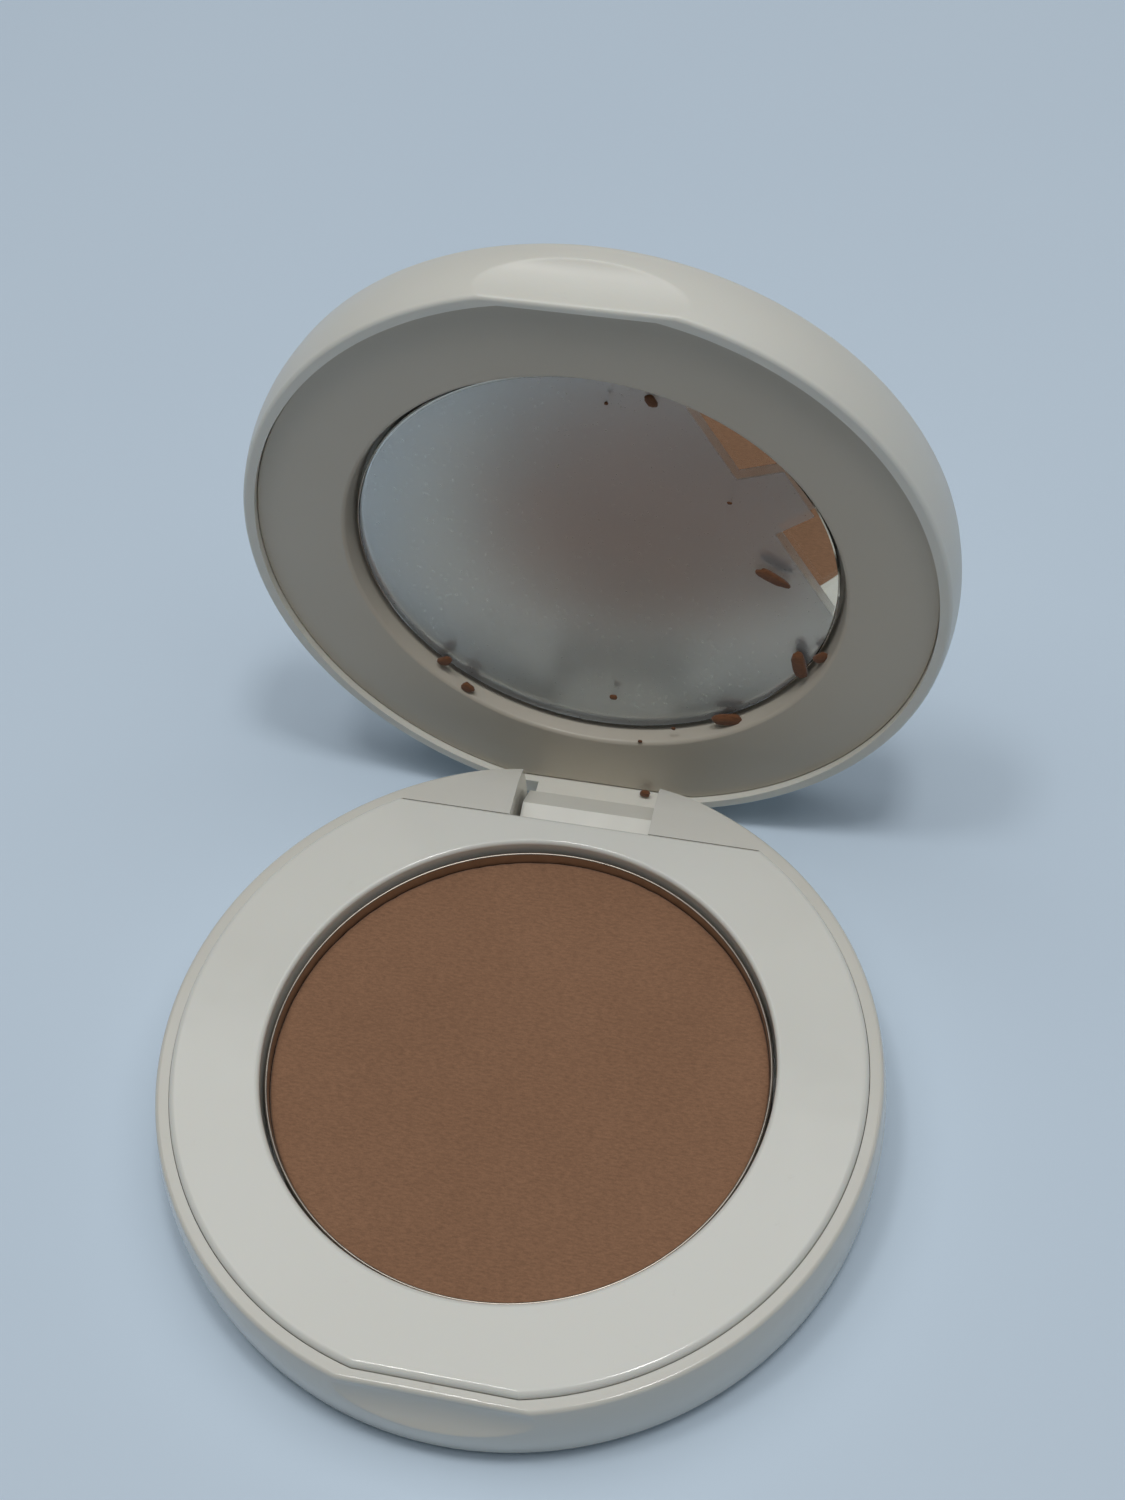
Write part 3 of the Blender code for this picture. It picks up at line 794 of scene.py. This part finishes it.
def makeFilm():
    r = film["radius"]
    low, high = filmBox[0].z, filmBox[1].z
    deselectAll()
    bpy.ops.mesh.primitive_circle_add(vertices=256, radius=r, fill_type="NGON", location=(0, 0, low))
    sheet = named("mirrorFilm")
    cutX = r - film["cutDepth"]
    tabAt, tabHalf = film["tabAt"], film["tabWide"] / 2
    sliceOff(sheet, (cutX, 0, 0), (1, 0, 0))
    for side in (-1, 1):
        editFaces(sheet)
        bpy.ops.mesh.select_all(action="SELECT")
        bpy.ops.mesh.bisect(plane_co=(0, tabAt + side * tabHalf, 0), plane_no=(0, 1, 0))
        leaveEdit()
    inTab = lambda p: abs(p.x - cutX) < near / 2 and abs(p.y - tabAt) < tabHalf + near / 2
    editEdges(sheet, lambda a, b: inTab(a) and inTab(b))
    reach = sqrt(r ** 2 - (abs(tabAt) + film["tabEnd"] / 2) ** 2)
    bpy.ops.mesh.extrude_region_move(TRANSFORM_OT_translate={"value": (reach - cutX, 0, 0)})
    narrow = film["tabEnd"] / film["tabWide"]
    bpy.ops.transform.resize(value=(1, narrow, 1), center_override=(reach, tabAt, low))
    leaveEdit()
    editFaces(sheet, lambda centre, normal: True)
    bpy.ops.mesh.dissolve_limited(angle_limit=radians(0.05))
    bpy.ops.mesh.select_all(action="SELECT")
    bpy.ops.mesh.extrude_region_move(TRANSFORM_OT_translate={"value": (0, 0, high - low)})
    bpy.ops.mesh.select_all(action="SELECT")
    bpy.ops.mesh.normals_make_consistent(inside=False)
    leaveEdit()
    sheet.data.transform(Matrix.Rotation(film["cutTurn"], 4, "Z"))
    smooth(sheet, 20)
    sheet.data.transform(swing)
    finished(sheet, "lid", "frosted_film", finishes["film"], "mirror_film")


# powder crumbs that cling to the mirror, its frame and the hinge: x, up towards the lid's front,
# depth behind the frame's face, length and width in mm, and turn in degrees
crumbs = [
    (6.5, 23.8, 1.4, 1.6, 1.0, 120), (18.9, 1.7, 1.35, 4.0, 1.15, -31), (22.0, -11.0, 1.3, 1.5, 3.6, 14),
    (24.2, -9.4, 1.3, 1.7, 1.2, 40), (14.2, -21.4, 1.1, 3.3, 1.5, 12), (-17.6, -18.0, 1.2, 1.6, 1.2, 30),
    (-15.1, -21.3, 0.6, 1.5, 1.1, -50), (1.5, -20.5, 1.4, 0.8, 0.6, 0), (4.6, -26.0, 0.2, 0.5, 0.4, 0),
    (8.3, -23.7, 0.8, 0.5, 0.4, 0), (18.3, -21.2, 0.3, 0.5, 0.5, 0), (2.0, 22.8, 1.5, 0.4, 0.4, 0),
    (14.2, 11.4, 1.5, 0.5, 0.3, 0), (5.2, -34.0, -0.75, 1.2, 0.9, 0),
]


def makeCrumbs():
    lumps = []
    for i, (x, up, depth, long, wide, turn) in enumerate(crumbs):
        deselectAll()
        bpy.ops.mesh.primitive_ico_sphere_add(subdivisions=3, radius=0.5 * mm)
        lump = bpy.context.object
        for vert in lump.data.vertices:
            spot = vert.co / mm * 1.6 + Vector((i * 7.3, 0, 0))     # each lump gets its own noise
            vert.co = Vector([copysign(abs(c / mm * 2) ** 0.75, c) * mm / 2 for c in vert.co])
            vert.co *= 1 + 0.30 * noise.noise(spot) + 0.12 * noise.noise(spot * 3)
        place = Vector((x * mm, -up * mm, frameBox[0].z + (depth - 0.1) * mm))
        lump.data.transform(Matrix.Diagonal((long, wide, 0.62 * min(wide, 1.3), 1)))
        lump.data.transform(Matrix.Rotation(radians(-turn), 4, "Z"))
        lump.data.transform(Matrix.Translation(place))
        lumps.append(lump)
    deselectAll()
    for lump in lumps:
        lump.select_set(True)
    bpy.context.view_layer.objects.active = lumps[0]
    bpy.ops.object.join()
    made = bpy.context.object
    made.name = "powderCrumbs"
    made.data.name = "powderCrumbs"
    made.data.transform(swing)
    smooth(made, 60)
    finished(made, "lid", "pressed_powder", finishes["crumb"])


def dressKeptNodes():
    # the pin, the tape and the adhesive keep the frame's own shapes
    for node, finish in (("hinge_pin", "steel"), ("mirror_tape", "tape"), ("pan_adhesive", "tape")):
        piece = frame["nodes"][node]
        for slot in piece.material_slots:
            slot.material = finishes[finish]
    print("dressed the kept nodes")


stage = {
    "size": 3.0,
    "colour": (0.705, 0.825, 0.950),
    "shade": (0.680, 0.800, 0.930),
}


def makeStage():
    deselectAll()
    bpy.ops.mesh.primitive_plane_add(size=stage["size"], location=(0, 0, -near))
    floor = named("floor")
    made, nodes, links, shader, place = newMaterial("paleFloor")
    cloud = addNoise(nodes, links, place, 7, 3)
    links.new(addRamp(nodes, links, cloud, (0.3, stage["shade"]), (0.7, stage["colour"])),
              shader.inputs["Base Color"])
    shader.inputs["Roughness"].default_value = 0.6
    shader.inputs["Specular IOR Level"].default_value = 0.2
    floor.data.materials.append(made)
    print("made the floor")


studio = {
    "sky": (0.86, 0.93, 1.0),
    "skyStrength": 0.062,
    "panel": (0.0, 0.10, 1.10),
    "panelSize": (1.4, 0.9),
    "panelColour": (0.975, 1.0, 1.01),
    "keyPower": 5.4,
    "lampColour": (1.0, 1.0, 0.99),
    "lampPower": 2.4,
    "lamps": [("lampRight", (0.14, -0.02, 1.0), (0.13, 0.13), 0.6),
              ("lampLeft", (-0.20, -0.03, 1.0), (0.13, 0.13), 0.4)],
}


def areaLight(name, place, aim, size, power, colour):
    # a rectangular light at a place, turned to face its aim
    light = bpy.data.lights.new(name, "AREA")
    light.shape = "RECTANGLE"
    light.size, light.size_y = size
    light.energy = power
    light.color = colour
    lamp = bpy.data.objects.new(name, light)
    scene.collection.objects.link(lamp)
    lamp.location = place
    lamp.rotation_mode = "QUATERNION"
    lamp.rotation_quaternion = (Vector(aim) - Vector(place)).to_track_quat("-Z", "Y")


def makeLight():
    world = bpy.data.worlds.new("softRoom")
    world.use_nodes = True
    ground = world.node_tree.nodes["Background"]
    ground.inputs["Color"].default_value = (*studio["sky"], 1)
    ground.inputs["Strength"].default_value = studio["skyStrength"]
    scene.world = world
    areaLight("ceilingPanel", studio["panel"], (0, 0.02, 0.02), studio["panelSize"], studio["keyPower"],
              studio["panelColour"])
    for name, place, size, share in studio["lamps"]:
        power = studio["lampPower"] * share
        areaLight(name, place, (0, 0, 0.02), size, power, studio["lampColour"])
    print("made the light")


view = {
    "place": (42.985 * mm, -112.908 * mm, 229.024 * mm),
    "azimuth": 17.09,
    "elevation": 53.77,
    "roll": -5.85,
    "lens": 57.6,
    "sensor": 36,
}


def makeCamera():
    data = bpy.data.cameras.new("tableView")
    camera = bpy.data.objects.new("tableView", data)
    scene.collection.objects.link(camera)
    a, e = radians(view["azimuth"]), radians(view["elevation"])
    back = Vector((sin(a) * cos(e), -cos(a) * cos(e), sin(e)))
    camera.location = view["place"]
    camera.rotation_mode = "QUATERNION"
    level = (-back).to_track_quat("-Z", "Y")
    camera.rotation_quaternion = level @ Quaternion((0, 0, 1), radians(view["roll"]))
    data.lens = view["lens"]
    data.sensor_width = view["sensor"]
    data.clip_start, data.clip_end = 0.01, 10
    scene.camera = camera


makeCamera()
makeStage()
makeLight()
makeBaseShell()
makeDeck()
makePan()
makePowder()
makeLidShell()
makeMirrorFrame()
makeMirror()
makeFilm()
makeCrumbs()
dressKeptNodes()
